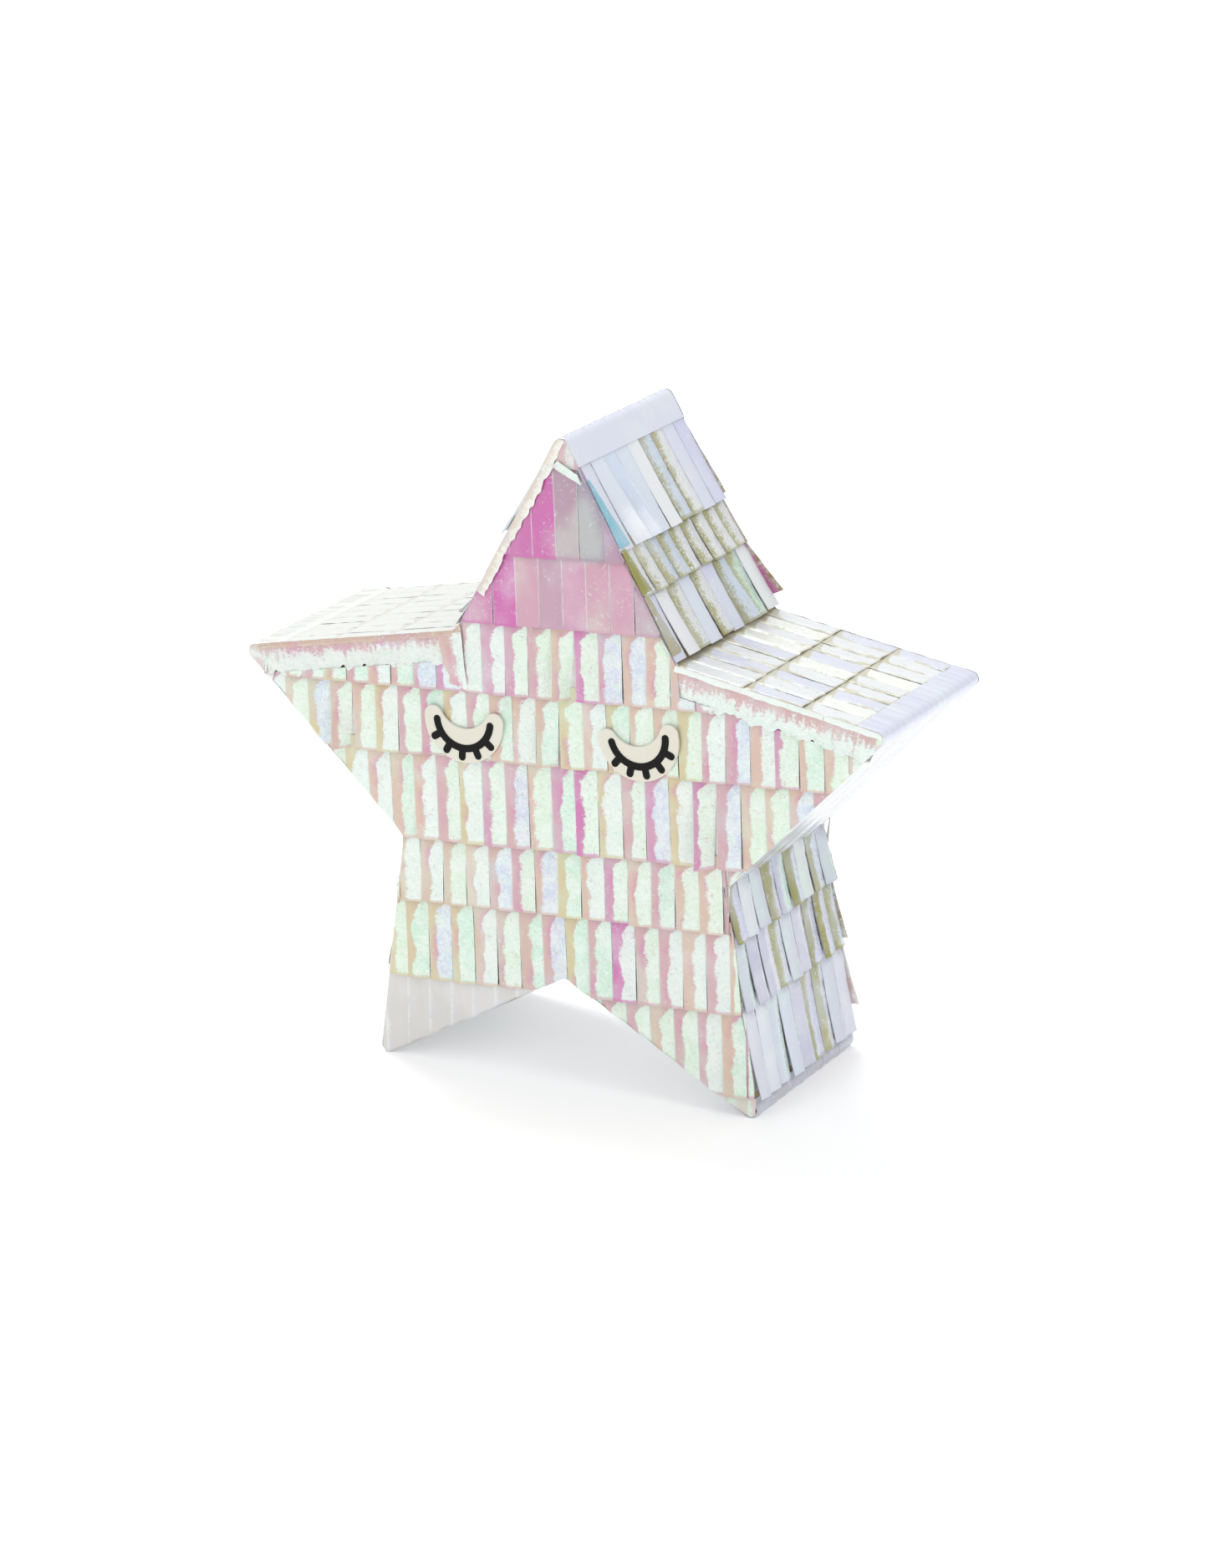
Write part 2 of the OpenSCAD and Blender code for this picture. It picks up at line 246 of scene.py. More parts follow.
class Wall:
    """A wall that slopes down from corner `top` to corner `foot`; b is minus the distance from the top."""

    def __init__(self, top, foot):
        clockwise = (foot - top) % 10 == 1
        self.start = corner(top, foil_room)
        end = corner(foot, foil_room)
        self.down = (end - self.start).normalized()
        self.out = outward(self.down) if clockwise else -outward(self.down)
        self.hand = 1 if clockwise else -1
        self.half = (back_y - front_y) / 2
        self.mid = (back_y + front_y) / 2

    def place(self, a, b, o):
        sink = rolled(self.half - abs(a))
        p = self.start - self.down * b + self.out * (o - sink)
        return Vector((p.x, self.mid + self.hand * a, p.y))

    def clip(self, a, low, high):
        return low, high


TILT = math.radians(3)
FRONT = Face(-1, TILT)
BACK = Face(1, inset=1.4 * MM)
star_mid = flat(sum((Vector(c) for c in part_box("front_panel")), Vector()) / 2)
WRAPPED = (("top_wrap", 90), ("right_arm_wrap", 18), ("right_foot_wrap", -90), ("left_foot_wrap", -90),
           ("left_arm_wrap", 162))
TUCK = 4 * MM


def bearing(degrees):
    return Vector((math.cos(math.radians(degrees)), math.sin(math.radians(degrees))))


def wrap_cut(node, out):
    return min(p.dot(out) for p in node_points(node))


def fence_faces():
    """Strips stop a little way under the wraps and, on the front, under the crumpled bands."""
    for face in (FRONT, BACK):
        for node, degrees in WRAPPED:
            out = bearing(degrees)
            on_point = node_points(node)[0]
            a, middle = face.to_ab(on_point).x, face.to_ab(star_mid).x
            sides = (-FAR, FAR) if node == "top_wrap" else (middle, FAR) if a > middle else (-FAR, middle)
            face.fence(out * (wrap_cut(node, out) + TUCK), out, *sides)
    for node, edge in (("right_arm_band", 1), ("left_arm_band", 8)):
        out = outward((corner(edge + 1) - corner(edge)).normalized())
        marks = node_points(node)
        across = [FRONT.to_ab(p).x for p in marks]
        FRONT.fence(out * (min(p.dot(out) for p in marks) + TUCK), out, min(across), max(across))


def press_under_stickers():
    for hand in ("left", "right"):
        low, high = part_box(f"eye_sticker_{hand}")
        FRONT.pressed.append((flat((low + high) / 2), (high.x - low.x) / 2 + 1 * MM, foil_room - 0.25 * MM))


fence_faces()
press_under_stickers()

# ---- Colours ----


def srgb(r, g, b):
    """A display colour from 0 to 255 as linear light."""
    def linear(c):
        c = c / 255
        return c / 12.92 if c <= 0.04045 else ((c + 0.055) / 1.055) ** 2.4
    return linear(r), linear(g), linear(b)


def mixed(c, d, t):
    return tuple(x + (y - x) * t for x, y in zip(c, d))


PINK = srgb(206, 168, 174)
MAUVE = srgb(190, 152, 176)
MAGENTA = srgb(202, 92, 172)
ROSE = srgb(204, 152, 180)
PEACH = srgb(212, 184, 170)
SAND = srgb(208, 196, 156)
MINT = srgb(218, 241, 220)
FROST = srgb(226, 240, 236)
SKY = srgb(206, 218, 238)
LILAC = srgb(204, 206, 234)
OLIVE = srgb(146, 142, 66)
KHAKI = srgb(200, 194, 168)
PEARL = srgb(232, 233, 236)
CREAM = srgb(245, 246, 238)
TEAL = srgb(130, 186, 204)
DUSK = srgb(164, 158, 178)
SILVER = srgb(202, 202, 204)
BEIGE = srgb(224, 216, 206)
AQUA = srgb(204, 238, 218)
WHITE = srgb(240, 248, 244)
GLOOM = srgb(112, 110, 124)

# ---- Foil meshes ----


class Foil:
    """Grids of film gathered into one mesh, with the colours of each strip."""

    def __init__(self):
        self.points, self.faces = [], []
        self.uv, self.body, self.glint, self.mix = [], [], [], []

    def grid(self, rows, columns, spot, look):
        """A sheet of cells; spot(down, c) gives a point of column c and its mark for the colours."""
        first, wide = len(self.points), columns + 1
        for r in range(rows + 1):
            for c in range(wide):
                point, mark = spot(r / rows, c)
                self.points.append(point)
                self.uv.append(mark)
        count = (rows + 1) * wide
        self.body += [look.body] * count
        self.glint += [look.glint] * count
        self.mix += [look.mix] * count
        for r in range(rows):
            for c in range(columns):
                k = first + r * wide + c
                self.faces.append((k, k + wide, k + wide + 1, k + 1))

    def punch(self, centre, radius):
        """Cuts a round hole through the film, by pushing the points inside it out to its edge."""
        inside = set()
        for k, p in enumerate(self.points):
            arm = flat(p) - centre
            if arm.length < radius:
                inside.add(k)
                edge = centre + arm.normalized() * radius
                self.points[k] = Vector((edge.x, p.y, edge.y))
        self.faces = [f for f in self.faces if not all(k in inside for k in f)]

    def piece(self, name, material, body, nodes):
        """The mesh, which rides on the body if one is named and stands in for those CAD nodes."""
        mesh = bpy.data.meshes.new(name)
        mesh.from_pydata(self.points, [], self.faces)
        for label, values in (("film_uv", self.uv), ("film_mix", self.mix)):
            layer = mesh.attributes.new(label, "FLOAT_VECTOR", "POINT")
            layer.data.foreach_set("vector", [x for v in values for x in v])
        for label, values in (("film_body", self.body), ("film_glint", self.glint)):
            layer = mesh.attributes.new(label, "FLOAT_COLOR", "POINT")
            layer.data.foreach_set("color", [x for v in values for x in (*v, 1.0)])
        mesh.polygons.foreach_set("use_smooth", [True] * len(mesh.polygons))
        mesh.materials.append(material)
        mesh.update()
        obj = bpy.data.objects.new(name, mesh)
        bpy.context.scene.collection.objects.link(obj)
        if body:
            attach(obj, body)
        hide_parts(*nodes)
        return obj


class Look:
    """How one strip is coloured: body and painted glint, where the glint starts, and how strong its painted
    shade and slit shadow are.
    """

    def __init__(self, body, glint, split, rag, amount, slit=0.0):
        self.body, self.glint = body, glint
        self.mix = (split, rag, amount)
        self.slit = slit


STRIP_COLUMNS = 10
STRIP_STEP = 1.3 * MM


def usable_width(surface, a0, a1, low, high, shortest=2 * MM, samples=24):
    """The widest stretch of a0 to a1 where a strip between low and high has some length."""
    best, run = None, None
    for k in range(samples + 1):
        a = a0 + (a1 - a0) * k / samples
        span = surface.clip(a, low, high)
        if span and span[1] - span[0] > shortest:
            run = (run[0], a) if run else (a, a)
            if best is None or run[1] - run[0] > best[1] - best[0]:
                best = run
        else:
            run = None
    return best


def hang_strip(foil, surface, a0, a1, top, end, look, rng, lift=1.0, tuck=6 * MM, wild=0.04, camber=1.0,
               slip=0.4 * MM):
    """One strip of film from under the row above down to its free end."""
    low, high = end, top + tuck
    span = usable_width(surface, a0, a1, low, high)
    if span is None or span[1] - span[0] < 1.0 * MM:
        return
    full = a1 - a0
    a0, a1 = span
    mid, half = (a0 + a1) / 2, (a1 - a0) / 2
    columns = max(4, round(STRIP_COLUMNS * (a1 - a0) / full))
    seed = rng.random()
    ridge = max(0.15, min(0.85, look.mix[0])) + rng.uniform(-0.06, 0.06)
    ridge_h = camber * rng.uniform(0.35, 0.9) * MM
    level = rng.uniform(0.0, 0.35) * min(camber, 1.0) * MM
    lean = rng.uniform(-0.4, 0.4) * MM
    end_slip = rng.uniform(-slip, slip)
    spans = []
    for c in range(columns + 1):
        a = a0 + (a1 - a0) * c / columns
        spans.append(surface.clip(a, low, high) or spans[-1])
    trimmed = max(s[0] for s in spans) > low + 0.3 * MM
    curl = rng.random() < wild and not trimmed
    twist = rng.uniform(0.5, 1.3) * (1 if rng.random() < 0.5 else -1) if curl else 0.0
    end_lift = lift * rng.uniform(0.7, 1.6) * MM + (rng.uniform(1.0, 3.0) * MM if curl else 0.0)
    if trimmed:
        lean, end_lift = 0.0, 0.3 * MM
    narrow = rng.uniform(-0.01, 0.03) * camber ** 2 + (0.35 * abs(twist) if curl else 0.0)
    count = max(4, round(max(s[1] - s[0] for s in spans) / STRIP_STEP))

    def spot(down, c):
        """u runs across the strip and v down it, and o is the height over the surface."""
        u = c / columns
        s_low, s_high = spans[c]
        b = s_high + (s_low - s_high) * down
        v = (top - b) / (top - end)
        drop = smooth(v)
        side = half * (2 * u - 1)
        a = mid + side * (1 - narrow * drop) + lean * drop
        tent = 1 - max((ridge - u) / ridge, (u - ridge) / (1 - ridge))
        crumple = (0.16 if u > ridge else 0.05) * min(camber, 1.0) * MM
        o = 0.35 * MM + level + (0.6 * MM + end_lift) * max(v, 0.0) ** 1.6
        o += ridge_h * tent * smooth(v * 5 + 0.3) + 0.5 * twist * side * drop
        o += crumple * rough((a, b, seed), 1.9 * MM, seed) + 0.12 * MM * rough((a, b, seed), 6 * MM, seed + 5)
        if s_low <= low + 0.3 * MM:
            b += end_slip * smooth(v * 2 - 1)
        return surface.place(a, b, max(o, 0.15 * MM)), (u, v, look.slit)

    foil.grid(count, columns, spot, look)


def lay_sheet(foil, surface, a0, a1, low, high, look, relief, step=1.6 * MM, ragged=0.0, band=False,
              pleat=0.0):
    """A sheet without slits that covers the surface between low and high, with a crease line every pleat,
    drawn as a painted highlight and, where the look has a slit, painted shade.
    """
    span = usable_width(surface, a0, a1, low, high, shortest=0.4 * MM, samples=160)
    if span is None:
        return
    a0, a1 = span
    columns = max(2, round((a1 - a0) / step))
    spans = []
    for c in range(columns + 1):
        a = a0 + (a1 - a0) * c / columns
        torn = ragged * (rough((a, 0.0, 0.0), 3 * MM, 1.5) + 0.7 * rough((a, 0.0, 0.0), 9 * MM, 2.5))
        spans.append(surface.clip(a, low + torn, high) or spans[-1])
    count = max(2, round(max(s[1] - s[0] for s in spans) / step))

    def spot(down, c):
        a = a0 + (a1 - a0) * c / columns
        s_low, s_high = spans[c]
        b = s_high + (s_low - s_high) * down
        across = (a / pleat) % 1.0 if pleat else 0.5
        if band:
            across = (high - b) / (high - low) + 0.3 * rough((a / (1.4 * MM), b / (12 * MM), 0.0), 1.0, 4.3)
        return surface.place(a, b, relief(a, b)), (across, 0.5, look.slit)

    foil.grid(count, columns, spot, look)


# ---- Materials ----


class Shading:
    """The nodes of one material. A value may be a number, a colour or another node's socket."""

    def __init__(self, name):
        self.material = bpy.data.materials.new(name)
        self.material.use_nodes = True
        self.tree = self.material.node_tree
        self.tree.nodes.clear()
        out = self.tree.nodes.new("ShaderNodeOutputMaterial")
        self.shader = self.tree.nodes.new("ShaderNodeBsdfPrincipled")
        self.tree.links.new(self.shader.outputs["BSDF"], out.inputs["Surface"])
        self.coords = self.add("ShaderNodeTexCoord").outputs["Object"]

    def fill(self, node, inputs):
        for key, value in inputs.items():
            if isinstance(value, bpy.types.NodeSocket):
                self.tree.links.new(value, node.inputs[key])
            else:
                node.inputs[key].default_value = value

    def add(self, kind, inputs=None, **settings):
        node = self.tree.nodes.new(kind)
        for key, value in settings.items():
            setattr(node, key, value)
        self.fill(node, inputs or {})
        return node

    def math(self, operation, *values):
        return self.add("ShaderNodeMath", dict(enumerate(values)), operation=operation).outputs[0]

    def times(self, p, q, plus=0.0):
        return self.math("MULTIPLY_ADD", p, q, plus)

    def mix(self, factor, a, b):
        """Colour a where the factor is 0, and colour b where it is 1."""
        a, b = (c if isinstance(c, bpy.types.NodeSocket) else (*c, 1.0) for c in (a, b))
        return self.add("ShaderNodeMix", {0: factor, 6: a, 7: b}, data_type="RGBA").outputs[2]

    def mask(self, value, edge, soft):
        """0 below the edge and 1 above it, with a soft border."""
        inputs = {"Value": value, "From Min": edge - soft, "From Max": edge + soft}
        return self.add("ShaderNodeMapRange", inputs, interpolation_type="SMOOTHSTEP").outputs[0]

    def noise(self, scale, detail=2.0, rough=0.5, distortion=0.0, at=None):
        inputs = {"Vector": at or self.coords, "Scale": scale, "Detail": detail, "Roughness": rough,
                  "Distortion": distortion}
        return self.add("ShaderNodeTexNoise", inputs).outputs[0]

    def attribute(self, name, output="Vector"):
        return self.add("ShaderNodeAttribute", attribute_name=name).outputs[output]

    def bump(self, height, strength, distance):
        inputs = {"Height": height, "Strength": strength, "Distance": distance}
        return self.add("ShaderNodeBump", inputs).outputs["Normal"]

    def shade(self, inputs):
        """Sets the shader's inputs and hands over the material."""
        self.fill(self.shader, inputs)
        return self.material


def foil_material(name, roughness=0.24, painted_sparkle=0.5, bump=0.5, deep=MAGENTA, painted_highlights=1.0, arched=0.42,
                  rim_light=0.5):
    """Iridescent film: each strip has a smooth body colour and a crumpled glint, a painted reflection, with a
    ragged border.
    """
    m = Shading(name)
    body, glint = m.attribute("film_body", "Color"), m.attribute("film_glint", "Color")
    across, along, painted_shade = m.add("ShaderNodeSeparateXYZ", {0: m.attribute("film_uv")}).outputs
    split, rag, amount = m.add("ShaderNodeSeparateXYZ", {0: m.attribute("film_mix")}).outputs

    # Ragged border between body and glint, which arches in under the row above
    wander = m.math("SUBTRACT", m.noise(110, 1), 0.5)
    torn = m.math("SUBTRACT", m.noise(700, 6, 0.9, 0.5), 0.5)
    drift = m.times(wander, 0.5, m.times(torn, m.times(rag, 2.0)))
    arch = m.math("POWER", m.math("MAXIMUM", m.times(along, -5.0, 1.0), 0.0), 2.0)
    depth = m.math("SUBTRACT", m.math("ADD", across, drift), m.times(arch, arched, split))
    side = m.math("SUBTRACT", m.mask(depth, 0.0, 0.015), m.mask(m.times(torn, 0.5, depth), 2.0, 0.015))
    # Painted sparkles: small painted glints scattered in clusters
    painted_sparkles = m.mask(m.noise(520, 5, 0.85, 0.5), 0.59, 0.012)
    strewn = m.mask(m.noise(85), 0.47, 0.06)
    painted_sparkles = m.times(m.times(painted_sparkles, strewn), painted_sparkle)
    holes = m.mask(m.noise(460, 6, 0.85, 0.6), 0.585, 0.012)
    side = m.times(side, m.times(holes, -0.6, 1.0))
    glinting = m.math("MAXIMUM", m.times(side, amount), painted_sparkles)

    # Body: smooth, deeper in places and paler along the strip's edges, where a painted highlight runs
    cloud = m.mask(m.noise(60), 0.56, 0.1)
    near = m.math("MAXIMUM", m.times(m.math("ABSOLUTE", depth), -3.0, 1.0), 0.0)
    shade = m.mix(m.times(m.times(m.times(cloud, near), amount), 0.6), body, deep)
    pale = m.mask(m.noise(36), 0.55, 0.12)
    shade = m.mix(m.times(pale, 0.3), shade, glint)
    rim = m.mask(m.math("ABSOLUTE", m.math("SUBTRACT", across, 0.5)), 0.478, 0.012)
    shade = m.mix(m.times(rim, rim_light), shade, FROST)

    # Glint: a painted reflection, pale, with painted highlights in a net of fine veins and soft patches
    veins = m.mask(m.noise(420, 6, 0.85, 1.2), 0.52, 0.04)
    highlit_glint = m.mix(m.times(veins, 0.7 * painted_highlights), glint, WHITE)
    patches = m.mask(m.noise(95), 0.52, 0.1)
    highlit_glint = m.mix(m.times(patches, 0.5 * painted_highlights), highlit_glint, WHITE)
    hints = m.mask(m.noise(190, 6, 0.85), 0.57, 0.03)
    highlit_glint = m.mix(m.times(hints, 0.5 * painted_highlights), highlit_glint, AQUA)
    colour = m.mix(glinting, shade, highlit_glint)
    lip = m.mask(m.times(torn, 0.1, along), 0.965, 0.012)
    colour = m.mix(m.times(lip, 0.7), colour, body)

    # Painted shade: a convex strip turns away from the light towards one side, and a painted shadow darkens
    # the slit beside it
    turned = m.mask(across, 0.8, 0.45)
    colour = m.mix(m.times(m.times(turned, 0.5), painted_shade), colour, DUSK)
    slit = m.mask(m.times(torn, 0.06, m.times(across, -1.0)), -0.05, 0.025)
    colour = m.mix(m.times(slit, painted_shade), colour, GLOOM)

    cells = m.add("ShaderNodeTexVoronoi", {"Vector": m.coords, "Scale": 360.0}, feature="DISTANCE_TO_EDGE")
    creases = m.math("MINIMUM", cells.outputs["Distance"], 0.25)
    height = m.times(m.noise(1300, 4, 0.7), 0.4, creases)
    bumped = m.bump(height, m.times(glinting, bump, 0.1), 0.8 * MM)
    return m.shade({"Base Color": colour, "Roughness": m.times(glinting, -0.12, roughness + 0.06),
                    "Normal": bumped, "Coat Normal": bumped, "Coat Weight": 0.8, "Coat Roughness": 0.1,
                    "Thin Film Thickness": 420.0, "Thin Film IOR": 1.45})


def card_material(name, tone):
    """Kraft card: fibres, blotches and the faint ribs of the fluting."""
    m = Shading(name)
    stretched = m.add("ShaderNodeMapping", {"Vector": m.coords, "Scale": (1.0, 1.0, 0.12)}).outputs[0]
    fibres = m.noise(900, 5, 0.7, at=stretched)
    dark = tuple(c * 0.72 for c in tone)
    light = tuple(min(1.0, c * 1.18) for c in tone)
    colour = m.mix(m.mask(fibres, 0.52, 0.2), dark, light)
    colour = m.mix(m.times(m.noise(35, 3), 0.5), colour, tone)
    waves = {"Vector": m.coords, "Scale": 55.0, "Distortion": 0.3}
    ribs = m.add("ShaderNodeTexWave", waves, bands_direction="X").outputs["Fac"]
    bumped = m.bump(m.times(ribs, 0.5, fibres), 0.25, 0.3 * MM)
    return m.shade({"Base Color": colour, "Normal": bumped, "Roughness": 0.86})


def sticker_material():
    """Cream laminated card with a faint grain and slightly darker clouds."""
    m = Shading("sticker_card")
    grain = m.noise(1600, 3, 0.6)
    colour = m.mix(m.mask(grain, 0.5, 0.3), srgb(222, 219, 205), srgb(230, 227, 214))
    colour = m.mix(m.times(m.noise(60), 0.4), colour, srgb(216, 212, 196))
    return m.shade({"Base Color": colour, "Normal": m.bump(grain, 0.12, 0.2 * MM), "Roughness": 0.42})


def ink_material():
    """Black print with a slight, uneven satin."""
    m = Shading("black_ink")
    grain = m.noise(1800, 3, 0.6)
    gloss = m.times(grain, 0.15, 0.5)
    return m.shade({"Base Color": m.mix(grain, srgb(6, 6, 6), srgb(18, 17, 17)), "Roughness": gloss,
                    "Specular IOR Level": 0.2})


def floor_material():
    m = Shading("white_floor")
    colour = m.mix(m.noise(4), (0.90, 0.90, 0.90), (0.92, 0.92, 0.92))
    return m.shade({"Base Color": colour, "Emission Color": (1.0, 1.0, 1.0, 1.0), "Emission Strength": 0.2,
                    "Roughness": 0.9})


FOIL = foil_material("iridescent_foil")
WALL_FOIL = foil_material("iridescent_foil_walls", painted_sparkle=0.9, bump=0.6, deep=PEARL, painted_highlights=0.3,
                          rim_light=0.0)
# On the arms the body colour shows under the row above and along the slits as painted shade.
ARM_FOIL = foil_material("iridescent_foil_arms", painted_sparkle=0.1, bump=0.02, deep=BEIGE, painted_highlights=0.3, arched=1.6,
                         rim_light=0.0)
WRAP_FOIL = foil_material("smooth_foil", roughness=0.3, painted_sparkle=0.1, bump=0.2, deep=LILAC, painted_highlights=0.4)
CARD = card_material("kraft_card", srgb(176, 146, 108))
PAPER_TAPE = card_material("paper_tape", srgb(196, 170, 128))
STICKER = sticker_material()
INK = ink_material()

# ---- Front and back fringe ----

STRIP_WIDE = 12.4 * MM


def row_end(face, node):
    return min(face.to_ab(p).y for p in node_points(node))


def pick(rng, *choices):
    """One of (weight, value) pairs."""
    total = rng.random() * sum(w for w, _ in choices)
    for weight, value in choices:
        total -= weight
        if total <= 0:
            return value
    return choices[-1][1]


def face_look(a, b, rng):
    """Colours of a strip on the front or back, by where it hangs."""
    high = smooth((b - star_mid.y - 52 * MM) / (25 * MM))
    low_left = smooth((star_mid.y - 10 * MM - b) / (80 * MM)) * smooth((40 * MM - a) / (120 * MM))
    body = pick(rng, (4, PINK), (3, PEACH), (1.5, SAND), (1.5, ROSE))
    body = mixed(body, pick(rng, (4, SAND), (2, PEACH)), 0.8 * low_left)
    body = mixed(body, pick(rng, (4, MAUVE), (2, ROSE), (1, PINK)), 0.9 * high)
    first_row = smooth((b - star_mid.y - 95 * MM) / (15 * MM))
    body = mixed(body, mixed(pick(rng, (4, DUSK), (2, MAUVE)), GLOOM, 0.25), 0.85 * first_row)
    slope = (corner(10) - corner(9)).normalized()
    inside = -(flat(FRONT.place(a, b, 0.0)) - corner(9)).dot(outward(slope))
    if rng.random() < (0.9 if high > 0.3 and inside < 20 * MM else 0.04):
        body = mixed(body, MAGENTA, rng.uniform(0.6, 0.95))
    glint = pick(rng, (5, MINT), (3, FROST), (1, SKY), (1.5, AQUA))
    split = rng.uniform(0.28, 0.5) + 1.5 * high
    return Look(body, glint, split, rng.uniform(0.2, 0.4), rng.uniform(0.92, 1.0))


def base_relief(level, seed):
    def relief(a, b):
        return level + 0.12 * MM * rough((a, b, 0.0), 5 * MM, seed)
    return relief


def hang_row(foil, surface, spans, end, top, looks, rng, wide=STRIP_WIDE, header=None, **bend):
    """One row of fringe over each stretch of the surface: a plain header with strips over it."""
    under = looks(0.0, (top + end) / 2, random.Random(7))
    under = Look(mixed(under.body, FROST, 0.35), under.glint, 0.5, 0.5, 0.5 * under.mix[2])
    header = bend.get("tuck", 6 * MM) / 2 if header is None else header
    for left, right in spans:
        lay_sheet(foil, surface, left, right, end + 4 * MM, top + header, under,
                  base_relief(0.12 * MM, rng.random()), step=2.5 * MM)
        count = max(1, round((right - left) / wide))
        pitch = (right - left) / count
        for k in range(count):
            a0 = left + k * pitch
            look = looks(a0 + pitch / 2, (top + end) / 2, rng)
            hang_strip(foil, surface, a0, a0 + pitch, top, end, look, rng, **bend)


def front_fringe():
    rng = random.Random(41)
    left, right = FRONT.width()
    top = None
    for row in range(1, 9):
        node = f"front_fringe_{row}"
        end = row_end(FRONT, node)
        top = top or end + 46 * MM
        offset = rng.uniform(-0.5, 0.5) * STRIP_WIDE
        span = (star_mid.x if row == 8 else left + offset, right + offset)
        foil = Foil()
        calm = {"lift": 0.5, "camber": 0.6} if row <= 2 else {}
        hang_row(foil, FRONT, [span], end, top, face_look, rng, **calm)
        foil.piece(f"front_foil_row_{row}", FOIL, "shell", [node])
        top = end


hatch_low, hatch_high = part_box("flap_panel")
HATCH_CLEAR = 0.9 * MM
CORD_HOLE = 5 * MM
BACK.hinge = (-hatch_high.x - 0.5 * MM, -hatch_low.x + 0.5 * MM, hatch_high.z)


def back_fringe():
    rng = random.Random(57)
    left, right = BACK.width()
    hatch = (-hatch_high.x - HATCH_CLEAR, -hatch_low.x + HATCH_CLEAR)
    hole = flat(sum((Vector(c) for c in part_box("cord_patch")), Vector()) / 2)
    top = None
    for row in range(1, 9):
        node = f"back_fringe_{row}"
        end = row_end(BACK, node)
        top = top or end + 44 * MM
        lowest = hatch_low.z - 8 * MM
        beside = end > lowest and top < hatch_high.z + 8 * MM
        spans = [(left, hatch[0]), (hatch[1], right)] if beside else [(left, right)]
        foil = Foil()
        bend = {"tuck": 3 * MM} if end < lowest < top else {}
        if top > hatch_high.z > end - 4 * MM:
            bend = {"lift": 0.4, "wild": 0.0, "slip": 0.0}
        hang_row(foil, BACK, spans, end, top, face_look, rng, **bend)
        if row <= 2:
            foil.punch(hole, CORD_HOLE)
        foil.piece(f"back_foil_row_{row}", FOIL, "shell", [node])
        top = end


def flap_fringe():
    rng = random.Random(63)
    span = (-hatch_high.x - 0.2 * MM, -hatch_low.x + 0.2 * MM)
    middle = row_end(BACK, "flap_fringe_upper")
    end = row_end(BACK, "flap_fringe_lower")
    hinge = hatch_high.z
    for name, node, low, top, tuck in (("flap_foil_lower", "flap_fringe_lower", end, middle, 6 * MM),
                                       ("flap_foil_upper", "flap_fringe_upper", middle, hinge, -1.2 * MM)):
        foil = Foil()
        hang_row(foil, BACK, [span], low, top, face_look, rng, tuck=tuck, header=-4 * MM, wild=0.0)
        foil.piece(name, FOIL, "flap", [node])


def hinge_film():
    """The film that the flap turns on, laid over the panel above the hinge and the flap below it; it rides on
    no body.
    """
    foil = Foil()
    look = Look(mixed(PINK, PEARL, 0.3), FROST, 1.4, 0.4, 0.3)
    hinge = hatch_high.z
    lay_sheet(foil, BACK, -hatch_high.x, -hatch_low.x, hinge - 3 * MM, hinge + 5 * MM, look,
              lambda a, b: 0.02 * MM, step=0.5 * MM)
    film = foil.piece("flap_hinge_film", FOIL, None, ())
    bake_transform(film)


front_fringe()
back_fringe()
flap_fringe()
hinge_film()

# ---- Walls ----


def wall_marks(wall, node):
    """Where the wall's rows end, and where the first begins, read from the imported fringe."""
    first, ends = FAR, []
    for p in node_points(node):
        s, o = (p - wall.start).dot(wall.down), (p - wall.start).dot(wall.out)
        first = min(first, s)
        if o > 0.9 * foil_room:
            ends.append(s)
    marks = []
    for s in sorted(ends):
        if not marks or s - marks[-1] > 4 * MM:
            marks.append(s)
    return first, marks


def wall_look(rng, bodies, glints, split, amount, slit):
    """A strip drawn from those colours and ranges."""
    body = mixed(pick(rng, *bodies), PEARL, rng.uniform(0.0, 0.5))
    return Look(body, pick(rng, *glints), rng.uniform(*split), rng.uniform(0.3, 0.6), rng.uniform(*amount),
                rng.uniform(*slit))


def leg_look(a, b, rng):
    """Convex lavender strips; about half of them have an olive crumpled side."""
    if rng.random() < 0.5:
        body = mixed(OLIVE, KHAKI, rng.uniform(0.0, 0.3))
        return Look(body, pick(rng, (3, LILAC), (2, SKY)), rng.uniform(0.3, 0.6), rng.uniform(0.2, 0.4), 1.0,
                    rng.uniform(0.6, 1.0))
    return wall_look(rng, ((4, mixed(LILAC, DUSK, 0.5)), (2, mixed(SKY, DUSK, 0.3)), (1, SILVER)),
                     ((1, PEARL), (1, AQUA)), (0.5, 1.3), (0.6, 1.0), (0.8, 1.0))


def point_look(a, b, rng):
    """The first row is smooth but for a crumpled patch in the middle."""
    crumpled = rng.random() < 0.6 if b < -FIRST_ROW else 0 < a < 26 * MM
    if crumpled:
        glint = pick(rng, (4, PEARL), (2, SKY), (1, AQUA))
        return Look(mixed(OLIVE, KHAKI, rng.uniform(0.1, 0.5)), glint, rng.uniform(0.2, 0.5), 1.5, 1.0, 0.4)
    slit = (0.3, 0.6) if b < -FIRST_ROW else (0.0, 0.4)
    return wall_look(rng, ((3, LILAC), (3, SKY), (4, PEARL)), ((1, PEARL), (1, FROST)), (0.7, 1.3),
                     (0.5, 0.9), slit)


def arm_look(a, b, rng):
    """Pearly strips with khaki painted as shade under the row above and along the slits."""
    glint = pick(rng, (4, PEARL), (2, mixed(PEARL, LILAC, 0.6)), (1, CREAM))
    return Look(KHAKI, glint, rng.uniform(0.0, 0.14), 0.3, 1.0)


def pale_look(a, b, rng):
    return Look(mixed(CREAM, BEIGE, 0.6), CREAM, rng.uniform(0.0, 0.08), 0.3, 1.0)


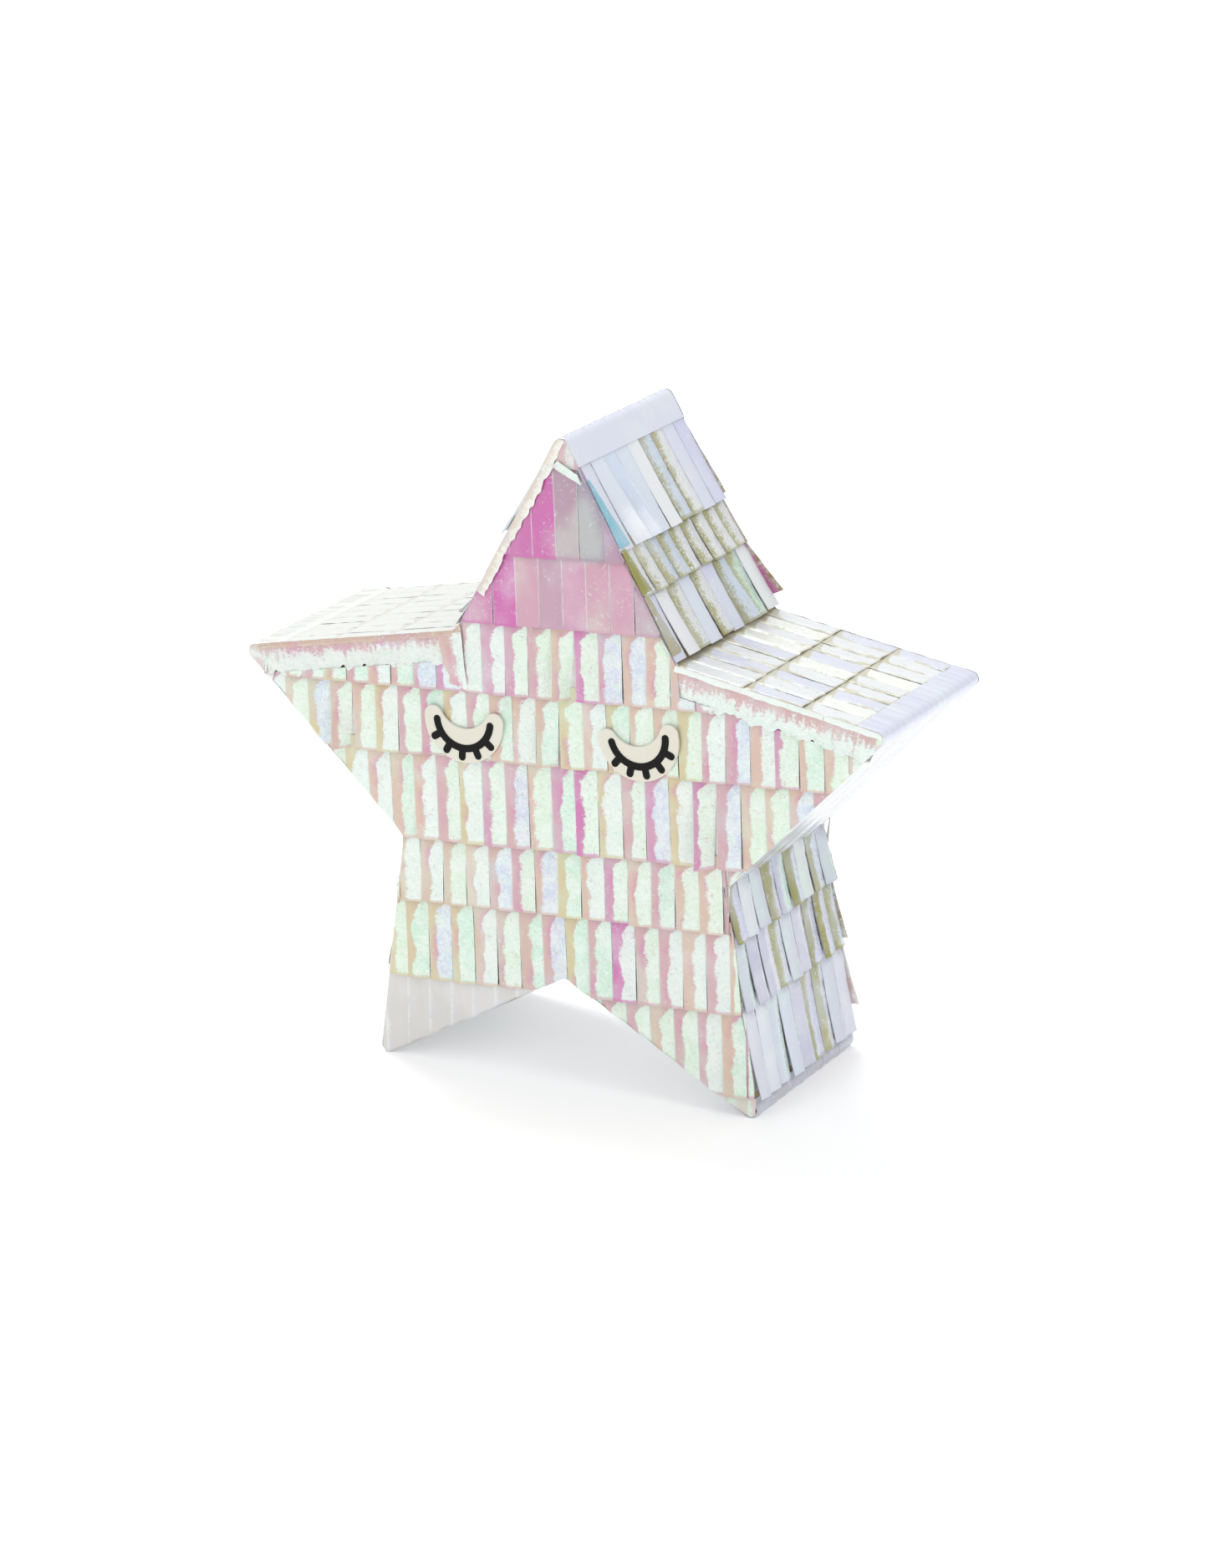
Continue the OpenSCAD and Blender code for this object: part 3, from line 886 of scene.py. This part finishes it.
FIRST_ROW = 45 * MM
WALLS = (
    ("top_right_fringe", 0, 1, point_look, {"lift": 1.3, "wild": 0.04, "camber": 1.4}),
    ("right_arm_top_fringe", 1, 2, arm_look, {"lift": -0.3, "wild": 0.0, "camber": 0.8}),
    ("right_leg_outer_fringe", 3, 4, leg_look, {"lift": 1.6, "wild": 0.06, "camber": 1.9}),
    ("left_leg_outer_fringe", 7, 6, leg_look, {"lift": 1.5, "wild": 0.03, "camber": 1.6}),
    ("left_arm_top_fringe", 9, 8, pale_look, {"lift": -0.4, "wild": 0.0, "camber": 0.2}),
    ("top_left_fringe", 0, 9, point_look, {"lift": 1.4, "wild": 0.08, "camber": 1.4}),
)


def wall_fringe(node, top, foot, looks, bend, rng):
    wall = Wall(top, foot)
    span = (-wall.half + WALL_INSET, wall.half - WALL_INSET)
    first, ends = wall_marks(wall, node)
    foil = Foil()
    start = first
    for k, end in enumerate(ends):
        tuck = 6 * MM if k else 1.5 * MM
        hang_row(foil, wall, [span], -end, -start, looks, rng, wide=11.5 * MM, tuck=tuck, **bend)
        start = end
    film = ARM_FOIL if "arm" in node else WALL_FOIL
    foil.piece(node.replace("fringe", "foil"), film, "shell", [node])


def wrinkles(level, height, across, along, seed):
    """Relief with wrinkles of that pitch across a and that length along b."""
    def relief(a, b):
        long = rough((a / across, b / along, 0.0), 1.0, seed)
        fine = rough((a / across, b / along, 0.0), 0.37, seed + 9)
        return level + height * (long + 0.4 * fine)
    return relief


FILMS = (
    ("right_arm_under_film", 2, 3),
    ("right_leg_inner_film", 4, 5),
    ("left_leg_inner_film", 6, 5),
    ("left_arm_under_film", 8, 7),
)


def wall_films():
    rng = random.Random(77)
    for node, top, foot in FILMS:
        wall = Wall(top, foot)
        marks = [(p - wall.start).dot(wall.down) for p in node_points(node)]
        look = Look(mixed(SILVER, PEARL, 0.7), FROST, 0.6, 0.7, 0.6)
        foil = Foil()
        lay_sheet(foil, wall, -wall.half + WALL_INSET, wall.half - WALL_INSET, -max(marks), -min(marks), look,
                  wrinkles(0.8 * MM, 0.7 * MM, 7 * MM, 60 * MM, rng.random()), step=1.3 * MM)
        foil.piece(node.replace("film", "foil"), WRAP_FOIL, "shell", [node])


def walls():
    rng = random.Random(88)
    for node, top, foot, looks, bend in WALLS:
        wall_fringe(node, top, foot, looks, bend, rng)
    wall_films()


walls()

# ---- Wraps over the points ----


class Tip:
    """The two walls beside a point and the bend between them; b is the distance round the bend."""

    def __init__(self, i):
        inner = outline(foil_room, 2 * ROUND_STEPS)
        middle = (i // 2) * (2 * ROUND_STEPS + 2) + ROUND_STEPS
        self.path = [inner[(middle + k) % len(inner)] for k in range(-ROUND_STEPS - 1, ROUND_STEPS + 2)]
        self.at = [0.0]
        for p, q in zip(self.path, self.path[1:]):
            self.at.append(self.at[-1] + (q - p).length)
        zero = self.at[ROUND_STEPS + 1]
        self.at = [s - zero for s in self.at]
        self.half = (back_y - front_y) / 2
        self.mid = (back_y + front_y) / 2

    def spot(self, b):
        b = max(self.at[0], min(self.at[-1], b))
        k = next((k for k in range(1, len(self.at)) if b <= self.at[k]), len(self.at) - 1)
        p, q = self.path[k - 1], self.path[k]
        return p + (q - p) * (b - self.at[k - 1]) / (self.at[k] - self.at[k - 1])

    def place(self, a, b, o):
        p = self.spot(b)
        out = outward((self.spot(b + 0.6 * MM) - self.spot(b - 0.6 * MM)).normalized())
        p = p + out * (o - rolled(self.half - abs(a)))
        return Vector((p.x, self.mid + a, max(p.y, 0.0)))

    def clip(self, a, low, high):
        return low, high

    def reach(self, direction, cut):
        """How far the part beyond the cut runs, both ways round the bend."""
        inside = [b for b in (self.at[0] + k * MM for k in range(int((self.at[-1] - self.at[0]) / MM)))
                  if self.spot(b).dot(direction) > cut]
        return min(inside), max(inside)


def turned_face(side, direction):
    """A face whose b runs along that direction."""
    angle = math.atan2(direction.y, direction.x)
    return Face(side, angle - math.pi / 2 if side < 0 else math.pi / 2 - angle)


WRAPS = (
    ("top_wrap", 0, 90, Look(PINK, FROST, 0.62, 0.5, 0.7),
     Look(mixed(PEARL, LILAC, 0.5), FROST, 1.4, 0.4, 0.3), 11),
    ("right_arm_wrap", 2, 18, Look(mixed(PINK, PEARL, 0.5), MINT, 0.5, 0.6, 0.9),
     Look(mixed(PEARL, LILAC, 0.6), FROST, 1.4, 0.4, 0.3, 0.35), 6),
    ("right_foot_wrap", 4, -90, Look(mixed(BEIGE, PINK, 0.4), MINT, 0.7, 0.6, 0.8),
     Look(mixed(SILVER, DUSK, 0.5), SKY, 0.9, 0.8, 0.8, 0.8), 9),
    ("left_foot_wrap", 6, -90, Look(mixed(SILVER, BEIGE, 0.3), PEARL, 0.85, 0.4, 0.5),
     Look(PEARL, FROST, 1.4, 0.4, 0.3, 0.2), 12),
    ("left_arm_wrap", 8, 162, Look(mixed(PINK, BEIGE, 0.6), FROST, 0.6, 0.5, 0.7),
     Look(CREAM, FROST, 1.4, 0.4, 0.3), 9),
)


LAID_LAST = ("top_wrap", "right_arm_wrap")


def pressed_edges(relief, low, high):
    """The same relief, pressed flat at both edges, where the last row hangs over it."""
    def pressed(a, b):
        lift = smooth(min(b - low, high - b) / (6 * MM))
        return 0.25 * MM + (relief(a, b) - 0.25 * MM) * lift
    return pressed


def wraps():
    rng = random.Random(99)
    for node, point, angle, face_colours, wall_colours, pleat in WRAPS:
        direction = bearing(angle)
        cut = wrap_cut(node, direction)
        foil = Foil()
        for side in (-1, 1):
            face = turned_face(side, direction)
            low, high = face.width()
            if angle == -90:
                inner = face.to_ab(star_mid).x
                right_hand = face.to_ab(corner(point)).x > inner
                low, high = (inner, high) if right_hand else (low, inner)
            lay_sheet(foil, face, low, high, cut - 1.5 * MM, FAR, face_colours,
                      wrinkles(1.2 * MM, 0.5 * MM, 5 * MM, 60 * MM, rng.random()), step=1.2 * MM,
                      pleat=pleat * MM)
        tip = Tip(point)
        low, high = tip.reach(direction, cut)
        low, high = low - 1.5 * MM, high + 1.5 * MM
        relief = wrinkles(1.3 * MM, 0.4 * MM, 4 * MM, 30 * MM, rng.random())
        if node not in LAID_LAST:
            relief = pressed_edges(relief, low, high)
        lay_sheet(foil, tip, -tip.half + WALL_INSET, tip.half - WALL_INSET, low, high, wall_colours, relief,
                  step=1.2 * MM, pleat=pleat * MM)
        foil.piece(node.replace("wrap", "foil"), WRAP_FOIL, "shell", [node])


wraps()

# ---- Crinkled bands along the arms ----


def band(node, edge, look, ridge_look, rng):
    """The band of unslit foil under the top edge of an arm, with a folded ridge along the edge."""
    start, finish = corner(edge), corner(edge + 1)
    along = (finish - start).normalized()
    face = Face(-1, math.atan2(along.y, along.x))
    marks = [face.to_ab(p) for p in node_points(node)]
    left, right = min(p.x for p in marks), max(p.x for p in marks)
    top = face.to_ab(start).y
    low = min(p.y for p in marks)
    foil = Foil()
    seed = rng.random() * 9

    def crumple(a, b):
        fold = rough((a / (1.8 * MM), b / (9 * MM), 0.0), 1.0, seed)
        lump = rough((a, b, 0.0), 6 * MM, seed + 4)
        droop = 0.8 * smooth(1 - (b - low) / (6 * MM))
        return (1.5 + 0.5 * fold + 0.4 * lump + droop) * MM

    def ridge(a, b):
        lump = 0.5 * rough((a, b, 0.0), 9 * MM, seed + 6)
        return (2.0 + lump + 0.25 * rough((a, b, 0.0), 2 * MM, seed)) * MM

    lay_sheet(foil, face, left - 2 * MM, right + 2 * MM, low + 3 * MM, top + 2 * MM, look, crumple,
              step=0.9 * MM, ragged=2.5 * MM, band=True)
    lay_sheet(foil, face, left - 2 * MM, right + 6 * MM, top - 3.4 * MM, top + 2 * MM, ridge_look, ridge,
              step=0.9 * MM, ragged=0.5 * MM)
    foil.piece(node.replace("band", "crumpled_foil"), FOIL, "shell", [node])


def bands():
    rng = random.Random(23)
    # The right arm's ridge is coloured pale as a painted highlight along the edge.
    band("right_arm_band", 1, Look(mixed(PINK, PEACH, 0.3), FROST, 0.56, 0.9, 1.0),
         Look(FROST, WHITE, 0.4, 0.6, 1.0), rng)
    band("left_arm_band", 8, Look(PINK, FROST, 0.46, 0.9, 0.85),
         Look(mixed(SAND, ROSE, 0.4), mixed(OLIVE, PEACH, 0.6), 0.6, 0.9, 0.8), rng)


bands()

# ---- Loose folds and strips that stand past the edges ----


def lay_patch(foil, surface, quad, look, relief, steps=(8, 26)):
    """A four-cornered sheet; quad is top left, top right, bottom right, bottom left on the surface."""
    tl, tr, br, bl = (Vector(p) for p in quad)
    columns, rows = steps

    def spot(down, c):
        u = c / columns
        p = (tl * (1 - u) + tr * u) * (1 - down) + (bl * (1 - u) + br * u) * down
        return surface.place(p.x, p.y, relief(p.x, p.y)), (0.1 + 0.8 * u, 0.3 + 0.4 * down, 0.0)

    foil.grid(rows, columns, spot, look)


class Fin:
    """The plane of the back face beyond a wall: a stands out from the wall and b runs up it."""

    def __init__(self, wall):
        self.wall = wall

    def place(self, a, b, o):
        wall = self.wall
        p = wall.start - wall.down * b + wall.out * a
        return Vector((p.x, back_y - 2.2 * MM + o, p.y))


def fins(name, top, foot, rows, rng):
    """Ends of the back face's strips that stand past the edge of the wall."""
    foil = Foil()
    fin = Fin(Wall(top, foot))
    for start, end, wide in rows:
        body = pick(rng, (3, mixed(PEACH, ROSE, 0.3)), (1, MAGENTA), (2, BEIGE))
        look = Look(body, pick(rng, (2, OLIVE), (2, FROST)), rng.uniform(0.5, 0.9), 0.5, 0.8)
        seed = rng.random()

        def bend(a, b):
            return 40 * a * a + 0.5 * MM * rough((a, b, 0.0), 7 * MM, seed)

        inside = -3 * MM
        slant = rng.uniform(0, 2) * MM
        quad = ((inside, -start), (0.25 * wide, -start), (wide, -end), (inside, -end + slant))
        lay_patch(foil, fin, quad, look, bend)
    foil.piece(name, FOIL, "shell", ())


def edge_folds():
    rng = random.Random(31)
    fins("top_right_edge_strips", 0, 1, ((22 * MM, 58 * MM, 4 * MM), (56 * MM, 84 * MM, 3 * MM),
                                         (82 * MM, 112 * MM, 8 * MM)), rng)
    fins("right_leg_edge_strips", 3, 4, ((4 * MM, 28 * MM, 4 * MM), (28 * MM, 58 * MM, 5 * MM),
                                         (58 * MM, 92 * MM, 6 * MM)), rng)
    fins("top_left_edge_strips", 0, 9, ((24 * MM, 56 * MM, 3 * MM), (60 * MM, 84 * MM, 4 * MM)), rng)
    fins("left_leg_edge_strips", 7, 6, ((6 * MM, 40 * MM, 4 * MM),), rng)

    wall = Wall(0, 1)
    edge = -wall.half + WALL_INSET
    foil = Foil()
    for start, end, w0, w1, body in ((24 * MM, 59 * MM, 1 * MM, 9 * MM, TEAL),
                                     (60 * MM, 83 * MM, 3 * MM, 9 * MM, OLIVE),
                                     (84 * MM, 114 * MM, 3 * MM, 10 * MM, mixed(OLIVE, PEACH, 0.3))):
        look = Look(body, SKY, 0.9, 0.3, 0.6)
        quad = ((edge, -start), (edge + w0, -start), (edge + w1, -end), (edge, -end))
        lay_patch(foil, wall, quad, look, wrinkles(2.6 * MM, 0.4 * MM, 5 * MM, 30 * MM, rng.random()))
    foil.piece("top_right_front_folds", WALL_FOIL, "shell", ())

    foil = Foil()
    start, finish = corner(9), corner(10)
    along = (finish - start).normalized()
    face = Face(-1, math.atan2(along.y, along.x))
    left, right, top = face.to_ab(start).x, face.to_ab(finish).x, face.to_ab(start).y
    look = Look(mixed(BEIGE, PEACH, 0.2), CREAM, 0.7, 0.9, 0.7)
    lay_sheet(foil, face, left + 24 * MM, right, top - 5.5 * MM, top + 2 * MM, look,
              wrinkles(2.0 * MM, 0.8 * MM, 22 * MM, 3 * MM, 2.2), step=1.0 * MM, ragged=1.3 * MM, band=True)
    foil.piece("top_left_front_film", WRAP_FOIL, "shell", ())

    foil = Foil()
    notch = FRONT.to_ab(corner(9))
    quad = ((notch.x - 9 * MM, notch.y - 3 * MM), (notch.x + 4 * MM, notch.y - 1 * MM),
            (notch.x + 6 * MM, notch.y - 30 * MM), (notch.x - 4 * MM, notch.y - 26 * MM))
    lay_patch(foil, FRONT, quad, Look(mixed(PINK, PEACH, 0.5), FROST, 0.55, 0.6, 1.0),
              wrinkles(2.3 * MM, 1.1 * MM, 3.2 * MM, 20 * MM, 4.1), steps=(16, 30))
    foil.piece("left_notch_folds", FOIL, "shell", ())


def cap_glare_fold():
    """The bright fold of film under the cap of the top point: its pale colour is a painted highlight."""
    foil = Foil()
    cut = wrap_cut("top_wrap", bearing(90))
    tip = FRONT.to_ab(corner(0)).x
    level = FRONT.to_ab(Vector((tip, cut))).y
    quad = ((tip - 2 * MM, level + 3 * MM), (tip + 8 * MM, level - 3 * MM),
            (tip + 10 * MM, level - 8 * MM), (tip - 5 * MM, level))
    lay_patch(foil, FRONT, quad, Look(FROST, FROST, 0.2, 0.3, 1.0),
              wrinkles(2.6 * MM, 0.5 * MM, 4 * MM, 6 * MM, 8.3), steps=(14, 8))
    foil.piece("top_cap_glare_fold", FOIL, "shell", ())


edge_folds()
cap_glare_fold()

# ---- Stickers ----


def soften(node, width, segments=3):
    bevel = frame["nodes"][node].modifiers.new("soft_edge", "BEVEL")
    bevel.width = width
    bevel.segments = segments
    bevel.limit_method = "ANGLE"
    bevel.angle_limit = math.radians(40)


for hand in ("left", "right"):
    soften(f"eye_sticker_{hand}", 0.35 * MM)

# ---- Camera, light and floor ----

CAMERA_TURN = math.radians(27.66)
CAMERA_RISE = math.radians(17.963)
CAMERA_ROLL = math.radians(-0.441)
CAMERA_DISTANCE = 2.464
CAMERA_LENS = 118.07
AIM = Vector((-3.5 * MM, 0.7 * MM, 134.1 * MM))


def set_camera():
    e, a = CAMERA_RISE, CAMERA_TURN
    back = Vector((math.sin(a) * math.cos(e), -math.cos(a) * math.cos(e), math.sin(e)))
    right = (-back).cross(Vector((0, 0, 1))).normalized()
    up = right.cross(-back)
    side = right * math.cos(CAMERA_ROLL) + up * math.sin(CAMERA_ROLL)
    rise = up * math.cos(CAMERA_ROLL) - right * math.sin(CAMERA_ROLL)
    data = bpy.data.cameras.new("camera")
    data.lens = CAMERA_LENS
    data.sensor_width = 36
    data.clip_start, data.clip_end = 0.05, 60
    camera = bpy.data.objects.new("camera", data)
    bpy.context.scene.collection.objects.link(camera)
    turn = Matrix((side, rise, back)).transposed().to_4x4()
    camera.matrix_world = Matrix.Translation(AIM + back * CAMERA_DISTANCE) @ turn
    bpy.context.scene.camera = camera


def area_light(name, place, aim, size, power, colour=(1, 1, 1)):
    data = bpy.data.lights.new(name, "AREA")
    data.shape = "DISK"
    data.size = size
    data.energy = power
    data.color = colour
    light = bpy.data.objects.new(name, data)
    bpy.context.scene.collection.objects.link(light)
    light.location = place
    light.rotation_mode = "QUATERNION"
    light.rotation_quaternion = (Vector(aim) - Vector(place)).to_track_quat("-Z", "Y")


def set_stage():
    world = bpy.data.worlds.new("studio")
    world.use_nodes = True
    world.node_tree.nodes["Background"].inputs[0].default_value = (1, 1, 1, 1)
    world.node_tree.nodes["Background"].inputs[1].default_value = 0.74
    bpy.context.scene.world = world
    bpy.context.scene.view_settings.view_transform = "Standard"
    area_light("key", (-1.2, 1.1, 2.3), (0, 0, 0.12), 1.5, 39)
    area_light("front", (-0.9, -2.4, 1.3), (0, 0, 0.15), 1.1, 6)
    area_light("right", (1.7, -0.4, 2.0), (0, 0, 0.2), 1.2, 11)
    mesh = bpy.data.meshes.new("floor")
    s = 12.0
    mesh.from_pydata([(-s, -s, 0), (s, -s, 0), (s, s, 0), (-s, s, 0)], [], [(0, 1, 2, 3)])
    floor = bpy.data.objects.new("floor", mesh)
    bpy.context.scene.collection.objects.link(floor)
    mesh.materials.append(floor_material())


set_camera()
set_stage()

for node, obj in frame["nodes"].items():
    slot = next(s["material_slot"] for s in frame["record"]["subparts"] if s["node"] == node)
    material = {"card": CARD, "seam_tape": PAPER_TAPE, "sticker": STICKER, "print": INK}.get(slot, WRAP_FOIL)
    for k in range(len(obj.material_slots)):
        obj.material_slots[k].material = material
